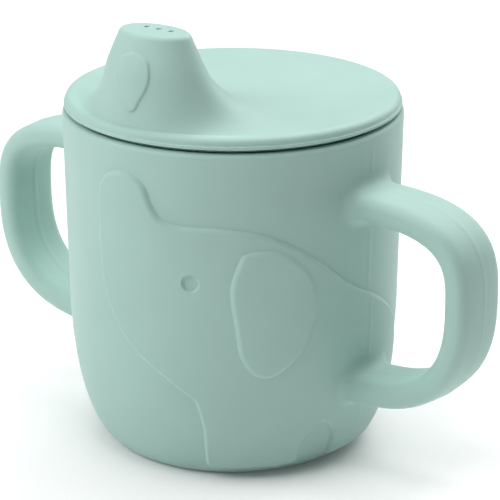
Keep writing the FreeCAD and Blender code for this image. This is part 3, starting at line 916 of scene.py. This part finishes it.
def dry_skin(tree, where, grain):
    """Normal with a fine grain over larger soft waves."""
    waves = node(tree, "ShaderNodeTexNoise", Vector=where, Scale=90.0, Detail=1.0, Roughness=0.5)
    coarse = node(tree, "ShaderNodeBump", Strength=0.05, Distance=0.0004, Height=waves.outputs["Fac"])
    fine = node(tree, "ShaderNodeBump", Strength=0.10, Distance=0.00006, Height=grain,
                Normal=coarse.outputs["Normal"])
    return fine.outputs["Normal"]


def silicone(name, colour):
    """Matte mint silicone: soft sheen, faint clouding, and a fine dry skin with larger soft waves."""
    material = bpy.data.materials.new(name)
    material.use_nodes = True
    tree = material.node_tree
    shader = tree.nodes["Principled BSDF"]
    where = tree.nodes.new("ShaderNodeTexCoord").outputs["Object"]

    grain = node(tree, "ShaderNodeTexNoise", Vector=where, Scale=1500.0, Detail=2.0, Roughness=0.6)
    gloss = node(tree, "ShaderNodeMapRange", Value=grain.outputs["Fac"])
    gloss.inputs["To Min"].default_value = 0.50
    gloss.inputs["To Max"].default_value = 0.60
    tree.links.new(clouded(tree, where, colour), shader.inputs["Base Color"])
    tree.links.new(gloss.outputs["Result"], shader.inputs["Roughness"])
    tree.links.new(dry_skin(tree, where, grain.outputs["Fac"]), shader.inputs["Normal"])

    shader.inputs["IOR"].default_value = 1.42
    shader.inputs["Specular IOR Level"].default_value = 0.42
    shader.inputs["Subsurface Weight"].default_value = 0.12
    shader.inputs["Subsurface Radius"].default_value = (0.8, 1.0, 0.95)
    shader.inputs["Subsurface Scale"].default_value = 0.002
    shader.inputs["Sheen Weight"].default_value = 0.06
    shader.inputs["Sheen Roughness"].default_value = 0.5
    return material


# ---------------------------------------------------------------- room


def glowing_floor_material():
    """White floor with a painted glow: faint beside and under the cup, where it lightens the cup's shadow
    and lights the cup from below, then turning into an even white glow away from the object.
    """
    material = bpy.data.materials.new("floor_white_glow")
    material.use_nodes = True
    tree = material.node_tree
    shader = tree.nodes["Principled BSDF"]
    where = tree.nodes.new("ShaderNodeTexCoord").outputs["Object"]
    away = tree.nodes.new("ShaderNodeVectorMath")
    away.operation = "LENGTH"
    tree.links.new(where, away.inputs[0])
    glow = node(tree, "ShaderNodeMapRange", Value=away.outputs["Value"])
    glow.interpolation_type = "SMOOTHSTEP"
    glow.inputs["From Min"].default_value = FLOOR_GLOW_START
    glow.inputs["From Max"].default_value = FLOOR_RADIUS - 0.05
    # painted light: the floor glows faintly even beside the cup, lightening its shadow and lighting the
    # cup from below
    glow.inputs["To Min"].default_value = 0.05
    glow.inputs["To Max"].default_value = 1.0
    tree.links.new(glow.outputs["Result"], shader.inputs["Emission Strength"])
    shader.inputs["Emission Color"].default_value = (1, 1, 1, 1)
    shader.inputs["Base Color"].default_value = (0.92, 0.92, 0.92, 1)
    shader.inputs["Roughness"].default_value = 1.0
    shader.inputs["Specular IOR Level"].default_value = 0.0
    return material


def backdrop_material():
    """Even white glow with no surface of its own."""
    material = bpy.data.materials.new("backdrop_white")
    material.use_nodes = True
    shader = material.node_tree.nodes["Principled BSDF"]
    shader.inputs["Base Color"].default_value = (0, 0, 0, 1)
    shader.inputs["Emission Color"].default_value = (1, 1, 1, 1)
    shader.inputs["Emission Strength"].default_value = 1.0
    shader.inputs["Specular IOR Level"].default_value = 0.0
    return material


def stage_object(name, shell, material):
    """Floor or backdrop from a shell, which has open edges and so isn't made like a piece."""
    mesh = bpy.data.meshes.new(name)
    mesh.from_pydata([[c * MM for c in point] for point in shell.points], [], shell.faces)
    mesh.materials.append(material)
    thing = bpy.data.objects.new(name, mesh)
    bpy.context.scene.collection.objects.link(thing)
    return thing


def make_stage():
    """Round floor, and round it a wide white bowl that only the camera sees."""
    turns = np.linspace(0, 2 * math.pi, 97)[:-1]
    edge = lathe([(FLOOR_RADIUS / MM, 0)], turns)[0]
    floor = Shell()
    floor.faces.append(tuple(floor.add(edge)))
    stage_object("floor", floor, glowing_floor_material())

    bowl = Shell()
    bend = 2000                         # millimetres: the bowl climbs in a bend from this radius
    climb = [(bend * (1 + math.sin(t)), bend * (1 - math.cos(t))) for t in np.linspace(0, math.pi / 2, 9)]
    climb.append((2 * bend, 5000))
    bowl.close(bowl.chain(bowl.add(edge), lathe(climb, turns)), (0, 0, 7000))
    backdrop = stage_object("backdrop", bowl, backdrop_material())
    backdrop.visible_diffuse = False
    backdrop.visible_glossy = False
    backdrop.visible_shadow = False
    backdrop.visible_transmission = False
    backdrop.visible_volume_scatter = False


def aim(thing, target):
    """Turn a lamp or camera to look at a point."""
    thing.rotation_euler = (Vector(target) - thing.location).to_track_quat("-Z", "Y").to_euler()


def softbox(name, place, side, power):
    """Square area light that looks at the middle of the cup."""
    light = bpy.data.lights.new(name, "AREA")
    light.shape = "SQUARE"
    light.size = side
    light.energy = power
    lamp = bpy.data.objects.new(name, light)
    lamp.location = place
    aim(lamp, MIDDLE)
    bpy.context.scene.collection.objects.link(lamp)


def light_room():
    """Dim white world and the softboxes."""
    world = bpy.data.worlds.new("soft_white")
    world.use_nodes = True
    background = world.node_tree.nodes["Background"]
    background.inputs["Color"].default_value = (1, 1, 1, 1)
    background.inputs["Strength"].default_value = WORLD_STRENGTH
    bpy.context.scene.world = world
    for name, place, side, power in LIGHTS:
        softbox(name, place, side, power)
    bpy.context.scene.view_settings.view_transform = "Standard"


def make_camera():
    """Camera looking at a point just beside the middle of the cup, seen from the front right."""
    around, above = math.radians(CAMERA_AZIMUTH), math.radians(CAMERA_ELEVATION)
    level = math.cos(above)
    back = Vector((math.sin(around) * level, -math.cos(around) * level, math.sin(above)))
    right = Vector((math.cos(around), math.sin(around), 0))
    target = Vector(MIDDLE)
    camera = bpy.data.objects.new("camera", bpy.data.cameras.new("camera"))
    camera.data.lens = CAMERA_LENS
    camera.data.sensor_width = 36.0
    camera.location = target + CAMERA_DISTANCE * back
    aim(camera, target + AIM_SIDEWAYS * right + AIM_UPWARDS * back.cross(right))
    bpy.context.scene.collection.objects.link(camera)
    bpy.context.scene.camera = camera


# ---------------------------------------------------------------- build

cup_moulding = make_cup()
cup_moulding.data.materials.append(silicone("mint_silicone_cup", linear(*MINT)))
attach(cup_moulding, "cup")
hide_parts("cup_shell", "left_handle", "right_handle", "elephant_relief")

lid_moulding = make_lid()
lid_moulding.data.materials.append(silicone("mint_silicone_lid", linear(*MINT)))
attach(lid_moulding, "lid")
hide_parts("lid", "spout")

make_stage()
light_room()
make_camera()
